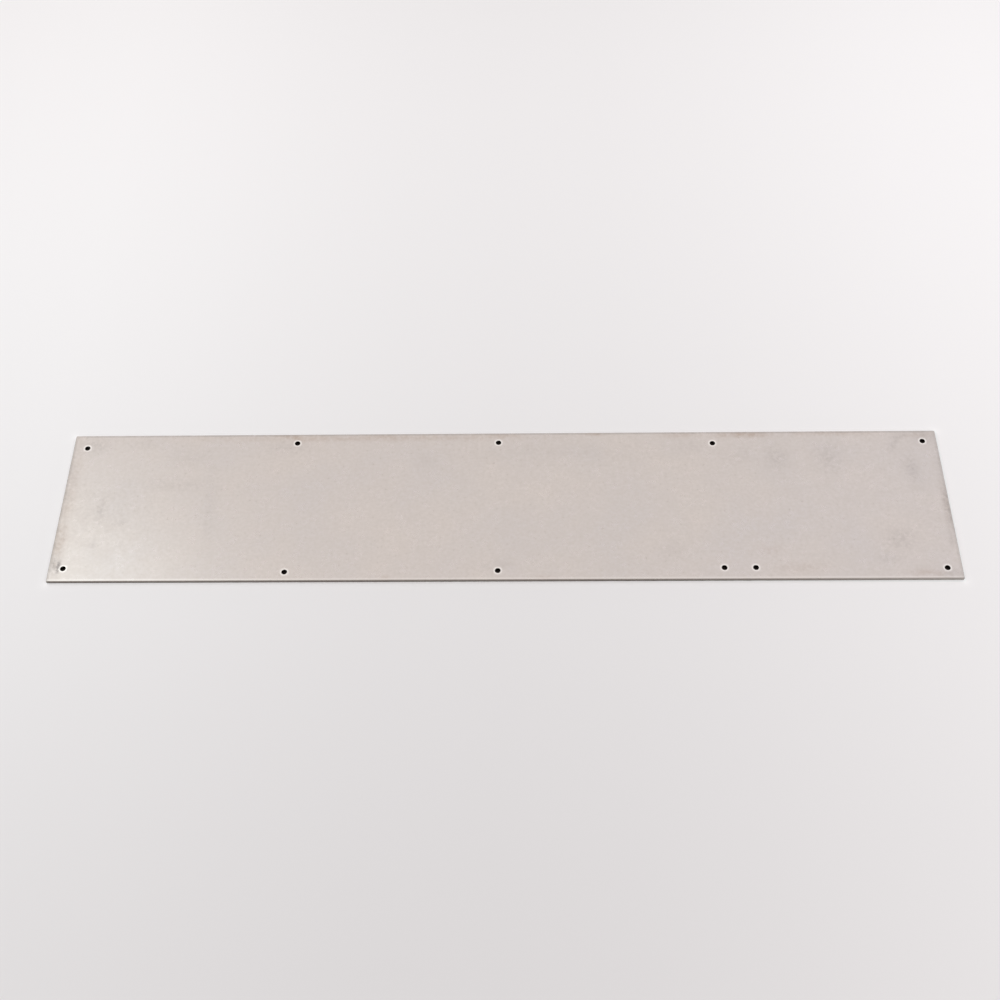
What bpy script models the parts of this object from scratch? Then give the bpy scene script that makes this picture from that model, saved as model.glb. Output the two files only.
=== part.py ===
"""Kick plate: one sheared sheet of satin stainless steel that guards the foot of a door.

The plate lies on its back face. +X runs along its length, +Y runs up the door once it is
fitted, and +Z points out of the front face. The origin is at the centre of the back face.
Two rows of plain round screw holes run along the long edges. They were marked out at evenly
spaced stations and drilled by hand, so each station sits a little off its even place.
"""
import bpy
import bmesh
from mathutils import Matrix

MM = 0.001

# The sheet, as sheared
PLATE_LENGTH = 762.0 * MM
PLATE_HEIGHT = 152.4 * MM
SHEET_THICKNESS = 3.175 * MM
EDGE_BREAK = 0.25 * MM
EDGE_BREAK_SEGMENTS = 2

# The screw holes
HOLE_DIAMETER = 4.76 * MM
HOLE_DEBURR = 0.15 * MM
HOLE_FACETS = 32
CUTTER_OVERRUN = 0.5 * MM

# The hole pattern: margins run from an edge of the sheet to the nearest hole centres
END_MARGIN = 12.3 * MM
UPPER_MARGIN = 11.5 * MM
LOWER_MARGIN = 10.1 * MM
EXTRA_HOLE_STEP = 26.0 * MM
EXTRA_HOLE_STATION = 3

# One entry for each station, left to right: how far the drill wandered to the right of its
# even place, and inwards from the row's margin
DRILL_WANDER = (
    (0.0 * MM, 2.3 * MM),
    (2.9 * MM, -1.8 * MM),
    (-3.0 * MM, -1.2 * MM),
    (0.9 * MM, 0.8 * MM),
    (0.0 * MM, -0.1 * MM),
)

# The finish: a warm grey satin polish
STEEL_COLOUR = (0.62, 0.55, 0.515, 1.0)
STEEL_ROUGHNESS = 0.32

# Blender's merge distance, well under the length of a hole facet
MERGE_DISTANCE = 0.01 * MM


def clear_scene():
    """Remove every object that the file starts with."""
    for item in list(bpy.data.objects):
        bpy.data.objects.remove(item, do_unlink=True)


def new_collection(name):
    """Add a collection to the scene."""
    collection = bpy.data.collections.new(name)
    bpy.context.scene.collection.children.link(collection)
    return collection


def satin_stainless():
    """The satin stainless steel of the sheet."""
    material = bpy.data.materials.new("satin_stainless")
    material.use_nodes = True
    shader = material.node_tree.nodes["Principled BSDF"]
    shader.inputs["Base Color"].default_value = STEEL_COLOUR
    shader.inputs["Metallic"].default_value = 1.0
    shader.inputs["Roughness"].default_value = STEEL_ROUGHNESS
    return material


def station_x(station):
    """The X of a station: evenly spaced between the end margins, plus its drill's wander."""
    first = END_MARGIN - PLATE_LENGTH / 2
    pitch = (PLATE_LENGTH - 2 * END_MARGIN) / (len(DRILL_WANDER) - 1)
    return first + station * pitch + DRILL_WANDER[station][0]


def hole_centres():
    """The X and Y of every screw hole: a pair at each station, and the extra lower hole."""
    centres = []
    for station, (_, inwards) in enumerate(DRILL_WANDER):
        x = station_x(station)
        upper_y = PLATE_HEIGHT / 2 - UPPER_MARGIN - inwards
        lower_y = -PLATE_HEIGHT / 2 + LOWER_MARGIN + inwards
        centres.append((x, upper_y))
        centres.append((x, lower_y))
        if station == EXTRA_HOLE_STATION:
            centres.append((x + EXTRA_HOLE_STEP, lower_y))
    return centres


def hole_profile():
    """Half the section of a hole cutter, top to bottom, with a deburring flare at each face."""
    radius = HOLE_DIAMETER / 2
    flare = radius + HOLE_DEBURR + CUTTER_OVERRUN
    top = SHEET_THICKNESS + CUTTER_OVERRUN
    outline = [
        (0.0, top),
        (flare, top),
        (radius, SHEET_THICKNESS - HOLE_DEBURR),
        (radius, HOLE_DEBURR),
        (flare, -CUTTER_OVERRUN),
        (0.0, -CUTTER_OVERRUN),
    ]
    mesh = bpy.data.meshes.new("hole_profile")
    edges = [(i, i + 1) for i in range(len(outline) - 1)]
    mesh.from_pydata([(x, 0.0, z) for x, z in outline], edges, [])
    return mesh


def add_hole_cutters(collection):
    """Turn one cutter for each screw hole."""
    profile = hole_profile()
    for number, (x, y) in enumerate(hole_centres(), start=1):
        cutter = bpy.data.objects.new(f"hole_cutter_{number:02d}", profile)
        cutter.location = (x, y, 0.0)
        cutter.hide_render = True
        cutter.display_type = "WIRE"
        collection.objects.link(cutter)
        turn = cutter.modifiers.new("turn", "SCREW")
        turn.axis = "Z"
        turn.steps = HOLE_FACETS
        turn.render_steps = HOLE_FACETS
        turn.use_merge_vertices = True
        turn.merge_threshold = MERGE_DISTANCE


def add_kick_plate(collection, cutters, material):
    """The sheet: a box with broken edges, drilled by the cutters."""
    box = bmesh.new()
    size = Matrix.Diagonal((PLATE_LENGTH, PLATE_HEIGHT, SHEET_THICKNESS, 1.0))
    bmesh.ops.create_cube(box, size=1.0, matrix=size)
    bmesh.ops.translate(box, verts=box.verts, vec=(0.0, 0.0, SHEET_THICKNESS / 2))
    mesh = bpy.data.meshes.new("kick_plate")
    box.to_mesh(mesh)
    box.free()
    mesh.materials.append(material)
    plate = bpy.data.objects.new("kick_plate", mesh)
    collection.objects.link(plate)

    broken_edges = plate.modifiers.new("broken_edges", "BEVEL")
    broken_edges.width = EDGE_BREAK
    broken_edges.segments = EDGE_BREAK_SEGMENTS

    drilled = plate.modifiers.new("drilled", "BOOLEAN")
    drilled.operation = "DIFFERENCE"
    drilled.operand_type = "COLLECTION"
    drilled.collection = cutters
    drilled.solver = "EXACT"


def main():
    clear_scene()
    parts = new_collection("kick_plate")
    cutters = new_collection("cutters")
    add_hole_cutters(cutters)
    add_kick_plate(parts, cutters, satin_stainless())


main()
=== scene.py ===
import math

import bpy
import bmesh
import numpy as np
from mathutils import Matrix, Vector


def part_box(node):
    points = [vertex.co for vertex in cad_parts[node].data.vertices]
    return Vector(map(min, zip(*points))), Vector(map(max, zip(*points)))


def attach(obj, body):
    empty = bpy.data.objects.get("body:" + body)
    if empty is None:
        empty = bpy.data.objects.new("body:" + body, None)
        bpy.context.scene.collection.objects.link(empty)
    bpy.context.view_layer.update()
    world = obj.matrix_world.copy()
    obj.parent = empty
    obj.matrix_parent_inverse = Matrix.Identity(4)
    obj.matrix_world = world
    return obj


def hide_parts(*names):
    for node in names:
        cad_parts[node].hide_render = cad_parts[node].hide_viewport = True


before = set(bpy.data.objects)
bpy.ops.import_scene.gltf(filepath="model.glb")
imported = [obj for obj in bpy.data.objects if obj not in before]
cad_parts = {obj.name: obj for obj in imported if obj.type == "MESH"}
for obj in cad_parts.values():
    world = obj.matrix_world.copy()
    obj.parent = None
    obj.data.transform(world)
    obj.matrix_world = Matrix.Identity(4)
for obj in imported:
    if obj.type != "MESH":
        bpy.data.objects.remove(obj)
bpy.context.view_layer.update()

# A bare kick plate of satin mill-finished stainless steel, lying face up on a white paper sweep.
# +X runs along the plate, +Y across it and +Z out of its front face, as in the frame.

MM = 0.001
SHEET_NODE = "kick_plate"

low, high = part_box(SHEET_NODE)
LENGTH = high.x - low.x
HEIGHT = high.y - low.y
THICKNESS = high.z - low.z

# The edges as sheared: the face rolls over slightly towards the blade's side, then come the
# dressed arris, a bright smeared band, a torn band that leans inwards and a small back arris.
# At the four corners all of it goes only a share of the way out, which blunts them.
ROLL_OVER = 1.6 * MM
ROLL_DROP = 0.10 * MM
FRONT_BREAK = 0.25 * MM
BACK_BREAK = 0.15 * MM
TORN_LEAN = 0.06 * MM
TORN_SHARE = 0.6
CORNER_BLUNTING = 0.94

# How far in from the outline the face is marked: along the front edge with a painted
# highlight line and painted shade where the face rolls over, and along the others with a faint
# grey line, less so along the right end
MARGIN_WIDTH = 3.2 * MM
STAIN_STRENGTH = 0.26
RIGHT_END_STRENGTH = 0.12
RIGHT_END = 5.0 * MM

# The screw holes as drilled: the lip that the deburring cutter left at each face
HOLE_LIP = 0.18 * MM
# The width of the painted highlight ring round each hole
BURNISHED_RING = 1.6 * MM

# The mesh: the square of finer cells round each hole, and the cell sizes
HOLE_SQUARE = 12.0 * MM
HOLE_CELLS = 12
OPEN_CELL = 2.5 * MM
MARGIN_CELLS = 3
HOLD_LINE = 0.08 * MM
WELD = 0.002 * MM
# How far each ring of the face's cells has gone from the square to the hole's circle
RING_SHARES = np.array([0.0, 0.3, 0.55, 0.75, 0.9, 0.985])
# Steps round each quarter circle of the lips and arrises, and down the roll-over
LIP_STEPS = 4
FRONT_STEPS = 4
BACK_STEPS = 3
ROLL_STEPS = 4

# Marks of storage and handling on the front face. Each row is X, Y, half length and half width
# in millimetres, the turn in degrees, and the strength.
# Tarnish is brown: it creeps in mostly from the back and left edges, where damp paper lay.
TARNISH = (
    (-115, 72, 140, 3.5, 0, 0.55),
    (-181, 72, 8, 4, 0, 1.0),
    (-190, 74, 14, 2.5, 0, 0.9),
    (-110, 74, 25, 2, 0, 0.6),
    (-1, 73, 22, 3, 0, 0.5),
    (80, 75, 9, 2, 0, 1.0),
    (160, 73, 20, 3, 0, 0.5),
    (214, 73, 24, 3, 0, 0.9),
    (290, 74, 40, 2.5, 0, 0.5),
    (-377, 15, 6, 50, 0, 0.4),
    (-377, -35, 6, 25, 0, 0.65),
    (365, 72, 12, 3, 0, 0.4),
    (378, -7, 2.5, 20, 0, 0.35),
    (354, -71, 14, 4, 0, 0.5),
    (225, -48, 10, 5, 0, 0.25),
    (250, -66, 20, 5, 0, 0.3),
    (-97, -74, 5, 2, 0, 0.4),
    (35, -74, 7, 2, 0, 0.35),
)
# Smudges are grey: finger marks and rubbed dirt.
SMUDGES = (
    (-373, -62.5, 1.8, 6, 0, 2.6),
    (-377, -60, 2.5, 8, 0, 1.2),
    (-378, 10, 6, 60, 0, 0.35),
    (-378, -42, 6, 25, 0, 0.4),
    (-340, -3, 45, 34, 0, 0.22),
    (-362, 66, 14, 10, 0, 0.55),
    (-346, -6, 5, 16, 0, 0.6),
    (-328, -17, 9, 4, 0, 0.5),
    (-348, -40, 4, 6, 0, 0.35),
    (-325, -40, 3, 6, -20, 0.3),
    (-290, 22, 40, 7, -3, 0.35),
    (-320, 66, 16, 7, 0, 0.25),
    (-275, 52, 20, 12, 0, 0.25),
    (-252, 0, 5, 45, 3, 0.3),
    (-190, 62, 20, 7, 0, 0.3),
    (-66, 46, 10, 8, 0, 0.18),
    (60, 55, 90, 10, 0, 0.15),
    (165, 60, 14, 8, 0, 0.2),
    (209, 50, 14, 8, 10, 0.2),
    (240, 48, 10, 14, 0, 0.45),
    (285, 48, 12, 14, 0, 0.45),
    (343, 62, 4, 10, -35, 0.45),
    (350, 70, 10, 3, 15, 0.5),
    (355, 34, 6, 14, 10, 0.6),
    (334, -38, 12, 10, 20, 0.5),
    (322, -56, 8, 5, 15, 0.4),
    (145, -48, 10, 8, 0, 0.25),
    (0, -62, 10, 5, 0, 0.25),
    (-14, -64, 5, 3, 0, 0.25),
    (372, 70, 10, 8, 0, 0.5),
    (372, -72, 10, 6, 0, 0.4),
    (379, 40, 3, 25, 0, 0.45),
    (379, -5, 3, 25, 0, 0.9),
    (377, -35, 3, 10, 0, 0.5),
)


# --- Numbers and colours ---------------------------------------------------------------------


def linear(code, alpha=1.0):
    """An sRGB hex colour as linear red, green, blue and alpha."""
    parts = [int(code[k : k + 2], 16) / 255 for k in (1, 3, 5)]
    light = [c / 12.92 if c <= 0.04045 else ((c + 0.055) / 1.055) ** 2.4 for c in parts]
    return (*light, alpha)


def spaced(start, stop, cell):
    """Evenly spaced lines from start to stop, about a cell apart."""
    return np.linspace(start, stop, max(1, round((stop - start) / cell)) + 1)


def quarter_turn(steps):
    """The sines and cosines of a quarter circle in equal steps."""
    angle = np.linspace(0.0, math.pi / 2, steps + 1)
    return np.sin(angle), np.cos(angle)


# --- The drilled pattern, read from the frame ------------------------------------------------


def drilled_holes(node):
    """Centre and wall radius of each screw hole, from the sheet's corners well inside its outline.

    Corners less than half a hole square apart along X belong to one station, and a station holds
    a lower and an upper hole. The centre is the middle of the corners' box, and the wall radius
    is the least distance from the centre to a corner."""
    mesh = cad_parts[node].data
    corners = np.empty(len(mesh.vertices) * 3)
    mesh.vertices.foreach_get("co", corners)
    corners = corners.reshape(-1, 3)[:, :2]
    half = np.array([LENGTH, HEIGHT]) / 2 - ROLL_OVER
    inner = corners[(np.abs(corners) < half).all(axis=1)]
    inner = inner[np.argsort(inner[:, 0])]
    gaps = np.flatnonzero(np.diff(inner[:, 0]) > HOLE_SQUARE / 2) + 1
    holes = []
    for station in np.split(inner, gaps):
        for side in (-1, 1):
            rim = station[station[:, 1] * side > 0]
            if len(rim):
                centre = (rim.min(axis=0) + rim.max(axis=0)) / 2
                radius = np.linalg.norm(rim - centre, axis=1).min()
                holes.append((centre[0], centre[1], radius))
    return np.array(holes)


# --- Surfaces --------------------------------------------------------------------------------


def cells(points, keep=None):
    """The quads of a grid of points, which has one axis for each of the surface's parameters.

    They are wound to face along the first axis crossed with the second, and keep drops the
    cells where it is False."""
    quads = np.stack(
        [points[:-1, :-1], points[1:, :-1], points[1:, 1:], points[:-1, 1:]], axis=2
    )
    return quads[keep] if keep is not None else quads.reshape(-1, 4, 3)


def lifted(xy, z):
    """Points in the plane, given a height."""
    return np.concatenate([xy, np.full(xy.shape[:-1] + (1,), z)], axis=-1)


def column_lines(stations):
    """X of the grid's columns: fine across each station's squares, open between them.

    Also says for each column of cells which station it crosses, or -1."""
    half = HOLE_SQUARE / 2
    edge = LENGTH / 2 - ROLL_OVER
    lines = [np.array([-edge])]
    owners = []
    place = -edge + HOLD_LINE
    lines.append(np.array([place]))
    owners.append([-1])
    for number, x in enumerate(stations):
        plain = spaced(place, x - half, OPEN_CELL)[1:]
        fine = np.linspace(x - half, x + half, HOLE_CELLS + 1)[1:]
        lines += [plain, fine]
        owners += [[-1] * len(plain), [number] * len(fine)]
        place = x + half
    plain = spaced(place, edge - HOLD_LINE, OPEN_CELL)[1:]
    lines += [plain, np.array([edge])]
    owners += [[-1] * (len(plain) + 1)]
    return np.concatenate(lines), np.concatenate(owners)


def row_height(holes, x):
    """Y of a drilled row's middle line at each x: level across each square, straight between."""
    half = HOLE_SQUARE / 2
    knots = np.stack([holes[:, 0] - half, holes[:, 0] + half], axis=1).ravel()
    return np.interp(x, knots, np.repeat(holes[:, 1], 2))


def sheet_layout(holes):
    """The plane grid of a face, and which of its cells the hole squares take.

    Y is a function of column and row: the rows run straight between knots that follow the two
    drilled rows, so the squares' edges always lie on grid lines."""
    lower = holes[holes[:, 1] < 0]
    upper = holes[holes[:, 1] > 0]
    stations = lower[:, 0]
    x, owner = column_lines(stations)
    half = HOLE_SQUARE / 2
    edge = HEIGHT / 2 - ROLL_OVER
    flat = np.ones_like(x)
    low_row = row_height(lower, x)
    high_row = row_height(upper, x)
    knots = [
        (-edge * flat, 1),
        ((-edge + HOLD_LINE) * flat, MARGIN_CELLS),
        (low_row - half, HOLE_CELLS),
        (low_row + half, round((HEIGHT - 2 * HOLE_SQUARE) / OPEN_CELL)),
        (high_row - half, HOLE_CELLS),
        (high_row + half, MARGIN_CELLS),
        ((edge - HOLD_LINE) * flat, 1),
        (edge * flat, 0),
    ]
    rows = []
    band = []
    for number, ((start, count), (stop, _)) in enumerate(zip(knots[:-1], knots[1:])):
        share = np.arange(count) / count
        rows.append(start[:, None] + (stop - start)[:, None] * share)
        band += [number] * count
    rows.append(knots[-1][0][:, None])
    y = np.concatenate(rows, axis=1)
    grid = np.stack([np.broadcast_to(x[:, None], y.shape), y], axis=-1)

    band = np.array(band)
    at_upper = np.isin(np.round(stations, 5), np.round(upper[:, 0], 5))
    has_upper = np.where(owner >= 0, at_upper[owner], False)
    taken = (owner >= 0)[:, None] & (band == 2)[None, :]
    taken |= has_upper[:, None] & (band == 4)[None, :]
    return grid, ~taken


def square_ring(centre, half, count):
    """Points round a square, count to a side, anticlockwise from its lower left corner."""
    run = np.linspace(-half, half, count + 1)[:-1]
    side = np.full(count, half)
    x = np.concatenate([run, side, -run, -side])
    y = np.concatenate([-side, run, side, -run])
    ring = np.stack([x, y], axis=-1) + centre
    return np.concatenate([ring, ring[:1]])


def round_ring(centre, radius, count):
    """Points round a circle, four times count in all, anticlockwise from its lower left.

    The lower left is three eighths of a turn before the X axis, as the square's corner is."""
    angle = np.linspace(0.0, 2 * math.pi, 4 * count + 1) - 2 * math.pi * 3 / 8
    return np.stack([np.cos(angle), np.sin(angle)], axis=-1) * radius + centre


def hole_surface(x, y, radius):
    """One drilled hole: the square of face round it, front lip, wall, back lip and back square.

    In the faces a point is square + (circle - square) * share. Through the lips and the wall
    the circle's radius and height follow a profile of two quarter circles and a straight."""
    centre = np.array([x, y])
    mouth = radius + HOLE_LIP
    square = square_ring(centre, HOLE_SQUARE / 2, HOLE_CELLS)
    circle = round_ring(centre, mouth, HOLE_CELLS)
    rings = [lifted(square + (circle - square) * share, THICKNESS) for share in RING_SHARES]
    sine, cosine = quarter_turn(LIP_STEPS)
    radii = mouth - HOLE_LIP * sine
    radii = np.concatenate([radii, radii[::-1]])
    heights = THICKNESS - HOLE_LIP * (1 - cosine)
    heights = np.concatenate([heights, (THICKNESS - heights)[::-1]])
    rings += [lifted(round_ring(centre, r, HOLE_CELLS), z) for r, z in zip(radii, heights)]
    rings += [lifted(square + (circle - square) * share, 0.0) for share in RING_SHARES[::-1]]
    return np.stack(rings, axis=1)


def edge_profile():
    """Distance out from the grid's outline and height, from the back face up to the front.

    The roll-over drops as the square of the way out; the arrises are quarter circles."""
    sine, cosine = quarter_turn(BACK_STEPS)
    back_out = ROLL_OVER - BACK_BREAK * (1 - sine) - TORN_LEAN
    back_up = BACK_BREAK * (1 - cosine)
    torn_top = THICKNESS * TORN_SHARE
    front_sine, front_cosine = quarter_turn(FRONT_STEPS)
    front_out = ROLL_OVER - FRONT_BREAK * (1 - front_cosine)
    front_up = THICKNESS - ROLL_DROP - FRONT_BREAK * (1 - front_sine)
    way_out = np.linspace(1.0, 0.0, ROLL_STEPS + 1)[1:]
    roll_out = (ROLL_OVER - FRONT_BREAK) * way_out
    roll_up = THICKNESS - ROLL_DROP * way_out**2
    smeared = [ROLL_OVER, ROLL_OVER]
    out = np.concatenate([[0.0], back_out, smeared, front_out, roll_out])
    up = np.concatenate([[0.0], back_up, [torn_top, torn_top + FRONT_BREAK], front_up, roll_up])
    return out, up


def edge_surface(grid):
    """The sheared edge: the profile carried round the grid's outline, mitred at the corners."""
    outline = np.concatenate([grid[:-1, 0], grid[-1, :-1], grid[:0:-1, -1], grid[0, ::-1]])
    side = np.array([LENGTH, HEIGHT]) / 2 - ROLL_OVER
    outwards = np.sign(outline) * (np.abs(outline) > side - WELD)
    at_corner = (outwards != 0).all(axis=1)
    outwards[at_corner] *= CORNER_BLUNTING
    out, up = edge_profile()
    swept = outline[:, None, :] + outwards[:, None, :] * out[None, :, None]
    height = np.broadcast_to(up, swept.shape[:2])[..., None]
    return np.concatenate([swept, height], axis=-1)


def welded(name, quads, materials, choice):
    """One mesh object from loose quads, with a choice of material for each quad.

    Corners closer than the weld become one, the faces turn outwards and shade smooth."""
    mesh = bpy.data.meshes.new(name)
    faces = np.arange(len(quads) * 4).reshape(-1, 4)
    mesh.from_pydata(quads.reshape(-1, 3).tolist(), [], faces.tolist())
    mesh.polygons.foreach_set("material_index", choice)
    for material in materials:
        mesh.materials.append(material)
    work = bmesh.new()
    work.from_mesh(mesh)
    bmesh.ops.remove_doubles(work, verts=work.verts, dist=WELD)
    bmesh.ops.recalc_face_normals(work, faces=work.faces)
    work.to_mesh(mesh)
    work.free()
    mesh.shade_smooth()
    piece = bpy.data.objects.new(name, mesh)
    bpy.context.scene.collection.objects.link(piece)
    return piece


def mark_strength(points, marks):
    """How strongly the marks show at points in the face.

    Each mark is a turned ellipse whose strength falls as exp(-(u^2 + v^2)), with u and v the
    distances along and across it over its half sizes; where marks overlap the stronger shows."""
    x, y, length, width, turn, strength = np.array(marks, float).T
    turn = np.radians(turn)
    right = points[:, 0, None] / MM - x
    up = points[:, 1, None] / MM - y
    u = (right * np.cos(turn) + up * np.sin(turn)) / length
    v = (up * np.cos(turn) - right * np.sin(turn)) / width
    return (strength * np.exp(-u * u - v * v)).max(axis=1)


def hole_closeness(points, holes):
    """1 at a hole's mouth, falling evenly to 0 over the painted highlight ring."""
    apart = np.hypot(points[:, 0, None] - holes[:, 0], points[:, 1, None] - holes[:, 1])
    ring = (apart - holes[:, 2] - HOLE_LIP).min(axis=1) / BURNISHED_RING
    return np.clip(1.0 - ring, 0.0, 1.0)


def side_closeness(places, side):
    """1 at a side of the sheet, falling evenly to 0 over the marked margin."""
    return np.clip(1.0 - np.abs(places - side) / MARGIN_WIDTH, 0.0, 1.0)


def add_attribute(piece, name, values):
    """Stores one number for each of a piece's vertices, for its material to read."""
    made = piece.data.attributes.new(name, "FLOAT", "POINT")
    made.data.foreach_set("value", np.asarray(values, np.float32))


def vertex_places(piece):
    """Where a piece's vertices are, as an array."""
    points = np.empty(len(piece.data.vertices) * 3)
    piece.data.vertices.foreach_get("co", points)
    return points.reshape(-1, 3)


# The order of the sheet's three materials
FACE_STEEL = 0
EDGE_STEEL = 1
WALL_STEEL = 2


def kick_plate_sheet(face_steel, edge_steel, wall_steel):
    """The whole sheet: front and back grids, a surface through each hole, and the sheared edge."""
    holes = drilled_holes(SHEET_NODE)
    grid, keep = sheet_layout(holes)
    front = cells(lifted(grid, THICKNESS), keep)
    back = cells(lifted(grid, 0.0), keep)[:, ::-1]
    bores = np.concatenate([cells(hole_surface(*hole)) for hole in holes])
    edge = cells(edge_surface(grid))
    quads = np.concatenate([front, back, bores, edge])

    # The drilled steel takes the walls between the lips, and the sheared steel the edge from
    # the back face up to the roll-over
    off_middle = np.abs(bores[..., 2].mean(axis=1) - THICKNESS / 2)
    drilled = off_middle < THICKNESS / 2 - HOLE_LIP
    level = edge[..., 2].mean(axis=1)
    sheared = (level > WELD) & (level < THICKNESS - ROLL_DROP)
    faces = np.full(len(front) + len(back), FACE_STEEL)
    bore_choice = np.where(drilled, WALL_STEEL, FACE_STEEL)
    edge_choice = np.where(sheared, EDGE_STEEL, FACE_STEEL)
    choice = np.concatenate([faces, bore_choice, edge_choice])
    sheet = welded("kick_plate_sheet", quads, [face_steel, edge_steel, wall_steel], choice)

    points = vertex_places(sheet)
    on_front = points[:, 2] > THICKNESS / 2
    add_attribute(sheet, "tarnish", mark_strength(points, TARNISH) * on_front)
    add_attribute(sheet, "smudge", mark_strength(points, SMUDGES) * on_front)
    add_attribute(sheet, "burnish", hole_closeness(points, holes))
    along, across, _ = points.T
    sides = side_closeness(np.abs(along), LENGTH / 2)
    back_edge = side_closeness(across, HEIGHT / 2)
    add_attribute(sheet, "stained_margin", np.maximum(sides, back_edge))
    add_attribute(sheet, "worn_margin", side_closeness(across, -HEIGHT / 2))
    at_right_end = along > LENGTH / 2 - RIGHT_END
    strength = np.where(at_right_end, RIGHT_END_STRENGTH, STAIN_STRENGTH)
    add_attribute(sheet, "stain_strength", strength)
    return sheet


# --- Materials -------------------------------------------------------------------------------


# Object coordinates are metres, and the patterns are sized in millimetres
PER_MM = (1000.0, 1000.0, 1000.0)
# Sizes of the face's patterns in millimetres
CLOUDS = 70
MOTTLE = 8
GRAIN = 3.0
FLECKS = 3.0
TARNISH_PATCHES = 6
SMUDGE_DABS = 4
SWELLS = 2.5
SWELL_HEIGHT = 0.02 * MM
# Sizes of the edge's patterns in millimetres, and how high a tear is for its length
STREAK_WIDTH = 0.35
STREAK_LENGTH = 5.0
TEARS = 0.7
TEAR_FLATTENING = 0.5
EDGE_RELIEF = 0.08 * MM
# The line where the edge's two bands meet wavers by this much, and blurs over this much
BAND_WAVER = 0.9 * MM
BAND_BLUR = 0.2 * MM
# Sizes of the drilled wall's pattern in millimetres
FEED_RINGS = 0.12
RING_CHANGE = 6.0
RING_RELIEF = 0.03 * MM
# The colour sockets of a Mix node
MIX_SHARE = 0
MIX_FIRST = 6
MIX_SECOND = 7
MIX_COLOUR = 2


def add_node(tree, kind, inputs=(), output=0, **settings):
    """Adds a shader node with its settings, and numbers or links for its sockets.

    Gives the one output that is asked for."""
    made = tree.nodes.new("ShaderNode" + kind)
    for name, value in settings.items():
        setattr(made, name, value)
    for socket, value in dict(inputs).items():
        if isinstance(value, bpy.types.NodeSocket):
            tree.links.new(value, made.inputs[socket])
        else:
            made.inputs[socket].default_value = value
    return made.outputs[output]


def new_material(name):
    """A material with an empty Principled shader, and its tree."""
    material = bpy.data.materials.new(name)
    material.use_nodes = True
    return material, material.node_tree, material.node_tree.nodes["Principled BSDF"]


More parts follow.
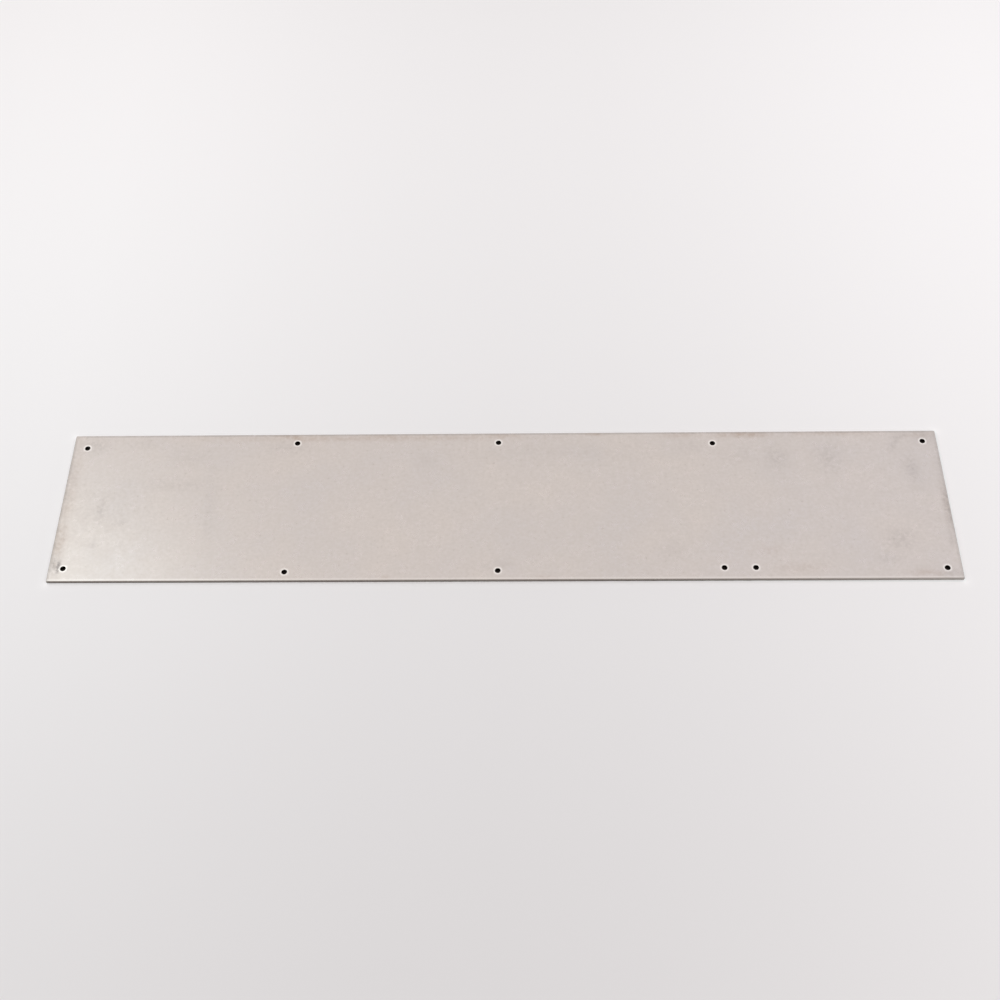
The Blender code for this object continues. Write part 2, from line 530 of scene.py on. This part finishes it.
def satin_stainless():
    """Stainless sheet with a 2B mill finish: cold rolled, pickled and lightly rolled again.

    That gives an even satin grey with a faint warm cast, a fine grain without any direction,
    slow cloudy changes from the pickling, brown tarnish at some edges and dull finger marks."""
    material, tree, shader = new_material("satin_mill_finished_stainless")
    place = add_node(tree, "TexCoord", output="Object")
    mm = add_node(tree, "Mapping", {"Vector": place, "Scale": PER_MM})

    # Pickling leaves slow clouds 70 mm across and mottling 8 mm across
    size = {"Vector": mm, "Scale": 1 / CLOUDS, "Detail": 3.0}
    clouds = add_node(tree, "TexNoise", size)
    size = {"Vector": mm, "Scale": 1 / MOTTLE, "Detail": 4.0, "Roughness": 0.65}
    mottle = add_node(tree, "TexNoise", size)
    share = add_node(tree, "MapRange", {"Value": clouds, "From Min": 0.35, "From Max": 0.65})
    tones = {MIX_SHARE: share, MIX_FIRST: linear("#D5CAC4"), MIX_SECOND: linear("#D0C7C4")}
    steel = add_node(tree, "Mix", tones, MIX_COLOUR, data_type="RGBA")
    limits = {"Value": mottle, "From Min": 0.3, "From Max": 0.7, "To Max": 0.6}
    share = add_node(tree, "MapRange", limits)
    tones = {MIX_SHARE: share, MIX_FIRST: steel, MIX_SECOND: linear("#CCC2BC")}
    steel = add_node(tree, "Mix", tones, MIX_COLOUR, data_type="RGBA")

    # The grain of the real finish is far too fine to see, so it is drawn 3 mm coarse
    size = {"Vector": mm, "Scale": 1 / GRAIN, "Detail": 2.0, "Roughness": 0.6}
    grain = add_node(tree, "TexNoise", size)
    limits = {"Value": grain, "From Min": 0.35, "From Max": 0.65, "To Max": 0.52}
    share = add_node(tree, "MapRange", limits)
    tones = {MIX_SHARE: share, MIX_FIRST: steel, MIX_SECOND: linear("#C7BDB6")}
    steel = add_node(tree, "Mix", tones, MIX_COLOUR, data_type="RGBA")

    # A few dark flecks where mill scale stayed on
    flecks = add_node(tree, "TexNoise", {"Vector": mm, "Scale": 1 / FLECKS, "Detail": 1.0})
    limits = {"Value": flecks, "From Min": 0.71, "From Max": 0.80, "To Max": 0.22}
    share = add_node(tree, "MapRange", limits)
    tones = {MIX_SHARE: share, MIX_FIRST: steel, MIX_SECOND: linear("#9C928B")}
    steel = add_node(tree, "Mix", tones, MIX_COLOUR, data_type="RGBA")

    # Tarnish grows in patches about 6 mm across
    size = {"Vector": mm, "Scale": 1 / TARNISH_PATCHES, "Detail": 4.0, "Roughness": 0.7}
    patches = add_node(tree, "TexNoise", size)
    limits = {"Value": patches, "From Min": 0.32, "From Max": 0.62, "To Min": 0.15}
    patches = add_node(tree, "MapRange", limits)
    tarnish = add_node(tree, "Attribute", output="Fac", attribute_name="tarnish")
    brown = add_node(tree, "Math", {0: tarnish, 1: patches}, operation="MULTIPLY")
    share = add_node(tree, "Math", {0: brown, 1: 0.75}, operation="MULTIPLY")
    tones = {MIX_SHARE: share, MIX_FIRST: steel, MIX_SECOND: linear("#B09B8C")}
    steel = add_node(tree, "Mix", tones, MIX_COLOUR, data_type="RGBA")

    # Finger marks and rubbed dirt break up into dabs about 4 mm across
    size = {"Vector": mm, "Scale": 1 / SMUDGE_DABS, "Detail": 5.0, "Roughness": 0.8}
    rubs = add_node(tree, "TexNoise", size)
    limits = {"Value": rubs, "From Min": 0.38, "From Max": 0.60, "To Min": 0.1}
    rubs = add_node(tree, "MapRange", limits)
    smudge = add_node(tree, "Attribute", output="Fac", attribute_name="smudge")
    dirt = add_node(tree, "Math", {0: smudge, 1: rubs}, operation="MULTIPLY")
    share = add_node(tree, "Math", {0: dirt, 1: 0.65}, operation="MULTIPLY")
    tones = {MIX_SHARE: share, MIX_FIRST: steel, MIX_SECOND: linear("#A29A96")}
    steel = add_node(tree, "Mix", tones, MIX_COLOUR, data_type="RGBA")

    # Painted highlight: a bright ring round each hole
    burnish = add_node(tree, "Attribute", output="Fac", attribute_name="burnish")
    limits = {"Value": burnish, "From Max": 0.55, "To Max": 0.65}
    share = add_node(tree, "MapRange", limits)
    tones = {MIX_SHARE: share, MIX_FIRST: steel, MIX_SECOND: linear("#F3ECE7")}
    steel = add_node(tree, "Mix", tones, MIX_COLOUR, data_type="RGBA")

    # Painted highlight 1 to 2 mm in from the front edge, painted shade on the roll-over outside it
    worn = add_node(tree, "Attribute", output="Fac", attribute_name="worn_margin")
    inner = add_node(tree, "MapRange", {"Value": worn, "From Min": 0.19, "From Max": 0.55})
    outer = add_node(tree, "MapRange", {"Value": worn, "From Min": 0.91, "From Max": 0.72})
    share = add_node(tree, "Math", {0: inner, 1: outer}, operation="MULTIPLY")
    share = add_node(tree, "Math", {0: share, 1: 0.3}, operation="MULTIPLY")
    tones = {MIX_SHARE: share, MIX_FIRST: steel, MIX_SECOND: linear("#EFE7E2")}
    steel = add_node(tree, "Mix", tones, MIX_COLOUR, data_type="RGBA")
    share = add_node(tree, "MapRange", {"Value": worn, "From Min": 0.84, "From Max": 0.93})
    tones = {MIX_SHARE: share, MIX_FIRST: steel, MIX_SECOND: linear("#A39B95")}
    steel = add_node(tree, "Mix", tones, MIX_COLOUR, data_type="RGBA")

    # Along the other edges a faint grey line 2 mm wide, darker towards the edge
    stained = add_node(tree, "Attribute", output="Fac", attribute_name="stained_margin")
    stained = add_node(tree, "MapRange", {"Value": stained, "From Min": 0.28, "From Max": 0.5})
    strength = add_node(tree, "Attribute", output="Fac", attribute_name="stain_strength")
    stained = add_node(tree, "Math", {0: stained, 1: strength}, operation="MULTIPLY")
    limits = {"Value": mottle, "From Min": 0.35, "From Max": 0.6, "To Min": 0.6}
    share = add_node(tree, "MapRange", limits)
    share = add_node(tree, "Math", {0: share, 1: stained}, operation="MULTIPLY")
    tones = {MIX_SHARE: share, MIX_FIRST: steel, MIX_SECOND: linear("#757270")}
    steel = add_node(tree, "Mix", tones, MIX_COLOUR, data_type="RGBA")
    tree.links.new(steel, shader.inputs["Base Color"])

    # Satin all over, duller under dirt and tarnish
    limits = {"Value": mottle, "From Min": 0.3, "From Max": 0.7, "To Min": 0.26, "To Max": 0.34}
    gloss = add_node(tree, "MapRange", limits)
    gloss = add_node(tree, "Math", {0: dirt, 1: 0.12, 2: gloss}, operation="MULTIPLY_ADD")
    gloss = add_node(tree, "Math", {0: brown, 1: 0.10, 2: gloss}, operation="MULTIPLY_ADD")
    tree.links.new(gloss, shader.inputs["Roughness"])
    shader.inputs["Metallic"].default_value = 1.0

    # The rolls leave the face very slightly uneven, 0.02 mm over 2.5 mm
    swell = add_node(tree, "TexNoise", {"Vector": mm, "Scale": 1 / SWELLS, "Detail": 1.0})
    relief = {"Height": swell, "Distance": SWELL_HEIGHT, "Strength": 0.2}
    tree.links.new(add_node(tree, "Bump", relief), shader.inputs["Normal"])
    return material


def sheared_edge():
    """The edge as the shear left it: a bright smeared band on top, a torn grey band below.

    The blade drags fine streaks through the thickness; the torn band is rough and dark."""
    material, tree, shader = new_material("sheared_stainless_edge")
    place = add_node(tree, "TexCoord", output="Object")

    # Streaks 0.35 mm wide that run 5 mm through the thickness, and tears 0.7 mm across
    stretch = (STREAK_WIDTH, STREAK_WIDTH, STREAK_LENGTH)
    fine = [scale / size for scale, size in zip(PER_MM, stretch)]
    drawn = add_node(tree, "Mapping", {"Vector": place, "Scale": fine})
    size = {"Vector": drawn, "Scale": 1.0, "Detail": 3.0, "Roughness": 0.6}
    streaks = add_node(tree, "TexNoise", size)
    flat = (PER_MM[0], PER_MM[1], PER_MM[2] / TEAR_FLATTENING)
    torn_place = add_node(tree, "Mapping", {"Vector": place, "Scale": flat})
    size = {"Vector": torn_place, "Scale": 1 / TEARS, "Detail": 4.0, "Roughness": 0.7}
    tears = add_node(tree, "TexNoise", size)

    # The bands meet in a ragged line
    height = add_node(tree, "SeparateXYZ", {"Vector": place}, output=2)
    waver = {0: tears, 1: BAND_WAVER, 2: height}
    ragged = add_node(tree, "Math", waver, operation="MULTIPLY_ADD")
    middle = THICKNESS * TORN_SHARE + BAND_WAVER / 2
    limits = {"Value": ragged, "From Min": middle - BAND_BLUR, "From Max": middle + BAND_BLUR}
    smeared = add_node(tree, "MapRange", limits)
    share = add_node(tree, "MapRange", {"Value": tears, "From Min": 0.3, "From Max": 0.7})
    tones = {MIX_SHARE: share, MIX_FIRST: linear("#726B66"), MIX_SECOND: linear("#8D8680")}
    torn = add_node(tree, "Mix", tones, MIX_COLOUR, data_type="RGBA")
    share = add_node(tree, "MapRange", {"Value": streaks, "From Min": 0.3, "From Max": 0.7})
    tones = {MIX_SHARE: share, MIX_FIRST: linear("#8A827C"), MIX_SECOND: linear("#A69E98")}
    bright = add_node(tree, "Mix", tones, MIX_COLOUR, data_type="RGBA")
    tones = {MIX_SHARE: smeared, MIX_FIRST: torn, MIX_SECOND: bright}
    steel = add_node(tree, "Mix", tones, MIX_COLOUR, data_type="RGBA")

    # Painted light: the edge is painted paler towards the right end, where more light falls on it
    along = add_node(tree, "SeparateXYZ", {"Vector": place}, output=0)
    limits = {"Value": along, "From Min": LENGTH * 0.18, "From Max": LENGTH / 2, "To Max": 0.6}
    share = add_node(tree, "MapRange", limits)
    tones = {MIX_SHARE: share, MIX_FIRST: steel, MIX_SECOND: linear("#BDB5AF")}
    steel = add_node(tree, "Mix", tones, MIX_COLOUR, data_type="RGBA")
    tree.links.new(steel, shader.inputs["Base Color"])

    # The smeared band is glossier than the torn one
    gloss = add_node(tree, "MapRange", {"Value": smeared, "To Min": 0.55, "To Max": 0.36})
    tree.links.new(gloss, shader.inputs["Roughness"])
    shader.inputs["Metallic"].default_value = 1.0
    relief = add_node(tree, "Math", {0: streaks, 1: tears}, operation="ADD")
    relief = {"Height": relief, "Distance": EDGE_RELIEF, "Strength": 0.6}
    tree.links.new(add_node(tree, "Bump", relief), shader.inputs["Normal"])
    return material


def drilled_wall():
    """The wall that the drill cut, with fine rings from the feed, painted dark for the shade in
    the holes.
    """
    material, tree, shader = new_material("drilled_wall_painted_shade")
    place = add_node(tree, "TexCoord", output="Object")

    # Rings 0.12 mm apart that change slowly, over 6 mm, on the way round
    stretch = (RING_CHANGE, RING_CHANGE, FEED_RINGS)
    fine = [scale / size for scale, size in zip(PER_MM, stretch)]
    turned = add_node(tree, "Mapping", {"Vector": place, "Scale": fine})
    rings = add_node(tree, "TexNoise", {"Vector": turned, "Scale": 1.0, "Detail": 2.0})
    share = add_node(tree, "MapRange", {"Value": rings, "From Min": 0.3, "From Max": 0.7})
    # Painted shade: near black tones for the shade inside the holes
    tones = {MIX_SHARE: share, MIX_FIRST: linear("#37302C"), MIX_SECOND: linear("#504741")}
    steel = add_node(tree, "Mix", tones, MIX_COLOUR, data_type="RGBA")
    tree.links.new(steel, shader.inputs["Base Color"])
    gloss = add_node(tree, "MapRange", {"Value": share, "To Min": 0.32, "To Max": 0.45})
    tree.links.new(gloss, shader.inputs["Roughness"])
    shader.inputs["Metallic"].default_value = 1.0
    relief = {"Height": rings, "Distance": RING_RELIEF, "Strength": 0.5}
    tree.links.new(add_node(tree, "Bump", relief), shader.inputs["Normal"])
    return material


# --- Stage, light and camera -----------------------------------------------------------------

FLOOR_DROP = 0.05 * MM
FLOOR_HALF = 8.0
FLOOR_CELL = 0.1
CARD_DROP = 0.02 * MM
CARD_INSET = 4.0 * MM

# Painted light: how white the paper is under the middle of the plate, and how the painted light
# changes that with X and Y in metres: to the right, to the back and, alike on both sides,
# outwards. The corners twist a little.
PAPER_MIDDLE = "#E4E0E0"
RIGHT_RISE = 0.06
RIGHT_GAIN = 0.17
BACK_RISE = 0.22
BACK_EASE = 0.24
SIDES_RISE = 0.62
SIDES_EASE = 1.33
CORNER_TWIST = 0.07
# In metres: the formula holds its last value outside this box, and from the inner to the outer
# distance from the middle it gives way to one even shade
SHADED_X = (-0.55, 0.55)
SHADED_Y = (-0.42, 0.70)
SHADED_MIDDLE_Y = 0.14
SHADED_INNER = 0.75
SHADED_OUTER = 2.00
PAPER_FAR = 0.80
# Painted light: the paper is painted brighter near the plate, standing in for light thrown back
# by the polished edge, so it stays bright right up to the plate
GLOW = 0.3
GLOW_WIDTH = 3.0 * MM
PAPER_LIMIT = 0.97


def paper_whiteness(points):
    """Colour of the paper at points, with painted light falling off: the middle's colour plus one
    rise for all three channels.

    The rise is RIGHT_RISE x + RIGHT_GAIN x^3 + BACK_RISE y - BACK_EASE y^3 + SIDES_RISE x^2
    - SIDES_EASE x^4 - CORNER_TWIST x y. With t the way from the inner to the outer distance,
    the even far shade comes in by the smooth step 3 t^2 - 2 t^3."""
    x = np.clip(points[:, 0], *SHADED_X)
    y = np.clip(points[:, 1], *SHADED_Y)
    rise = RIGHT_RISE * x + RIGHT_GAIN * x**3 + BACK_RISE * y - BACK_EASE * y**3
    rise += SIDES_RISE * x**2 - SIDES_EASE * x**4 - CORNER_TWIST * x * y
    shade = np.array(linear(PAPER_MIDDLE)[:3])[:, None] + rise
    apart = np.hypot(points[:, 0], points[:, 1] - SHADED_MIDDLE_Y)
    way = np.clip((apart - SHADED_INNER) / (SHADED_OUTER - SHADED_INNER), 0.0, 1.0)
    shade += (PAPER_FAR - shade) * (way * way * (3 - 2 * way))
    return np.concatenate([shade, np.ones_like(x)[None]]).T


def flat_stage(name, x, y, z, material):
    """A level sheet of the stage at a height, gridded along lines of X and Y."""
    grid = np.stack(np.meshgrid(x, y, indexing="ij"), axis=-1)
    quads = cells(lifted(grid, z))
    return welded(name, quads, [material], np.zeros(len(quads), int))


def paper_sweep():
    """White paper under the plate, painted with light: its shading formula times a painted glow.

    The glow is 1 + GLOW * exp(-d / GLOW_WIDTH), with d the distance from the plate's outline."""
    material, tree, shader = new_material("white_paper")
    shade = add_node(tree, "Attribute", output="Color", attribute_name="whiteness")
    place = add_node(tree, "TexCoord", output="Object")
    apart = add_node(tree, "VectorMath", {0: place}, operation="ABSOLUTE")
    half = (LENGTH / 2, HEIGHT / 2, 0.0)
    apart = add_node(tree, "VectorMath", {0: apart, 1: half}, operation="SUBTRACT")
    apart = add_node(tree, "VectorMath", {0: apart, 1: (0.0, 0.0, 0.0)}, operation="MAXIMUM")
    apart = add_node(tree, "VectorMath", {0: apart}, output=1, operation="LENGTH")
    fade = add_node(tree, "Math", {0: apart, 1: -1 / GLOW_WIDTH}, operation="MULTIPLY")
    glow = add_node(tree, "Math", {0: fade}, operation="EXPONENT")
    lift = add_node(tree, "Math", {0: glow, 1: GLOW, 2: 1.0}, operation="MULTIPLY_ADD")
    shade = add_node(tree, "VectorMath", {0: shade, "Scale": lift}, operation="SCALE")
    white = (PAPER_LIMIT, PAPER_LIMIT, PAPER_LIMIT)
    shade = add_node(tree, "VectorMath", {0: shade, 1: white}, operation="MINIMUM")
    tree.links.new(shade, shader.inputs["Base Color"])
    shader.inputs["Roughness"].default_value = 0.9
    run = spaced(-FLOOR_HALF, FLOOR_HALF, FLOOR_CELL)
    floor = flat_stage("paper_sweep", run, run, -FLOOR_DROP, material)
    shades = floor.data.attributes.new("whiteness", "FLOAT_COLOR", "POINT")
    shades.data.foreach_set("color", paper_whiteness(vertex_places(floor)).ravel())


def black_card():
    """A near black card for the shade under the plate, a little smaller than it, so that the
    empty holes read dark.
    """
    material, _, shader = new_material("black_card")
    shader.inputs["Base Color"].default_value = linear("#1C0F08")
    shader.inputs["Roughness"].default_value = 0.9
    x = np.linspace(-1, 1, 3) * (LENGTH / 2 - CARD_INSET)
    y = np.linspace(-1, 1, 3) * (HEIGHT / 2 - CARD_INSET)
    flat_stage("black_card", x, y, -CARD_DROP, material)


# The room is dim up to one height and bright from another, each given as the upward part of
# a direction
ROOM_HORIZON = 0.78
ROOM_TOP = 1.0
HORIZON_ENDS = 0.1
TOP_STARTS = 0.72

# Name, place, aim, size, power in watts and colour of each softbox
LIGHTS = (
    ("left_softbox", (-0.894, -0.053, 0.739), (-0.614, -0.533, -0.024), (1.10, 0.58), 1.20,
     "#E8FDFF"),
    ("right_softbox", (0.85, 0.35, 0.75), (0.50, -0.30, 0.0), (1.0, 1.0), 0.13, "#95B4FF"),
    ("back_strip", (-1.15, 1.35, 0.75), (0.0, 0.0, 0.0), (0.60, 0.90), 0.85, "#FFFFFF"),
    ("front_strip", (1.25, -1.40, 0.50), (0.0, 0.0, 0.0), (0.60, 0.70), 0.65, "#FFFFFF"),
)


def soft_light(name, place, aim, size, power, colour):
    """A rectangular softbox at a place, turned to face its aim."""
    lamp = bpy.data.lights.new(name, "AREA")
    lamp.shape = "RECTANGLE"
    lamp.size, lamp.size_y = size
    lamp.energy = power
    lamp.color = linear(colour)[:3]
    softbox = bpy.data.objects.new(name, lamp)
    softbox.location = place
    direction = Vector(aim) - Vector(place)
    softbox.rotation_euler = direction.to_track_quat("-Z", "Y").to_euler()
    softbox.visible_camera = False
    bpy.context.scene.collection.objects.link(softbox)


def studio():
    """A white room, dimmer towards its horizon, and the soft lights."""
    world = bpy.data.worlds.new("white_room")
    world.use_nodes = True
    tree = world.node_tree
    direction = add_node(tree, "TexCoord", output="Generated")
    up = add_node(tree, "SeparateXYZ", {"Vector": direction}, output=2)
    background = tree.nodes["Background"]
    limits = {"Value": up, "From Min": HORIZON_ENDS, "From Max": TOP_STARTS}
    limits |= {"To Min": ROOM_HORIZON, "To Max": ROOM_TOP}
    tree.links.new(add_node(tree, "MapRange", limits), background.inputs["Strength"])
    background.inputs["Color"].default_value = linear("#FFFFFF")
    bpy.context.scene.world = world
    bpy.context.scene.view_settings.view_transform = "Standard"
    for light in LIGHTS:
        soft_light(*light)


CAMERA_PLACE = (0.0180, -0.7120, 1.0340)
CAMERA_TURN = (34.796, 1.466, 0.649)
CAMERA_LENS = 52.52
CAMERA_SENSOR = 36.0
CAMERA_SHIFT = 0.0175


def camera():
    """Looks down on the plate from in front, at 55 degrees above the floor."""
    data = bpy.data.cameras.new("camera")
    data.lens = CAMERA_LENS
    data.sensor_width = CAMERA_SENSOR
    data.shift_x = CAMERA_SHIFT
    eye = bpy.data.objects.new("camera", data)
    eye.location = CAMERA_PLACE
    eye.rotation_euler = [math.radians(angle) for angle in CAMERA_TURN]
    bpy.context.scene.collection.objects.link(eye)
    bpy.context.scene.camera = eye


# --- The scene -------------------------------------------------------------------------------

sheet = kick_plate_sheet(satin_stainless(), sheared_edge(), drilled_wall())
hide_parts(SHEET_NODE)
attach(sheet, "root")

paper_sweep()
black_card()
studio()
camera()
